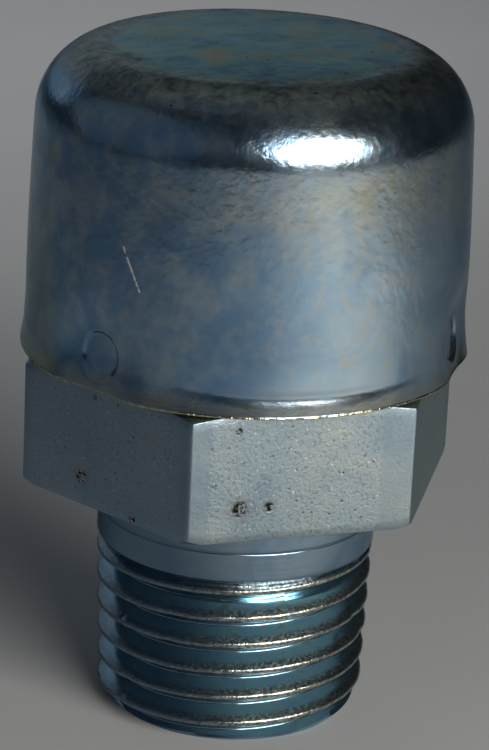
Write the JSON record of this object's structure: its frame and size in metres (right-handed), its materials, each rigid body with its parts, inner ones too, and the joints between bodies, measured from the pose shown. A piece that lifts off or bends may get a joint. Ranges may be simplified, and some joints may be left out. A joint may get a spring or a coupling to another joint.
{
  "type": "breather cap",
  "caption": "Vented breather cap: a hexagon body with a male tapered pipe thread under a loose deep-drawn steel dome, with a relief valve and a filter ring inside.",
  "frame": {"origin": "centre of the hexagon's underside, the shoulder above the threaded neck", "axes": "+Z along the thread's axis from the thread towards the dome, +Y square to two flats of the hexagon"},
  "size_m": [0.022, 0.022, 0.0339],
  "materials": {
    "zinc_body": "clear blue zinc plating over turned steel",
    "zinc_dome": "clear blue zinc plating over deep-drawn steel",
    "steel_pressing": "plated pressed steel",
    "steel_gauze": "woven stainless wire",
    "spring_steel": "oiled spring steel",
    "brass_valve": "turned brass",
    "nitrile": "moulded nitrile rubber",
    "filter_foam": "open-cell filter foam"
  },
  "bodies": {
    "body": {"hex_body": "zinc_body", "gauze_disc": "steel_gauze", "splash_baffle": "steel_pressing", "baffle_clip": "spring_steel", "spring_cage": "steel_pressing", "relief_spring": "spring_steel", "filter_ring": "filter_foam", "filter_plate": "steel_pressing", "wave_washer": "spring_steel"},
    "valve": {"valve_plate": "brass_valve", "valve_seal": "nitrile", "inlet_flap": "nitrile"},
    "dome": {"cap": "zinc_dome"}
  },
  "joints": [
    {"name": "valve_lift", "type": "slide", "parent": "body", "child": "valve", "axis": [0, 0, 1], "range_m": [0, 0.0015], "stiffness_N_per_m": 150, "springref_m": -0.0015, "deforming": ["relief_spring"]},
    {"name": "dome_spin", "type": "hinge", "parent": "body", "child": "dome", "pos_m": [0, 0, 0.0186], "axis": [0, 0, 1], "continuous": true}
  ]
}
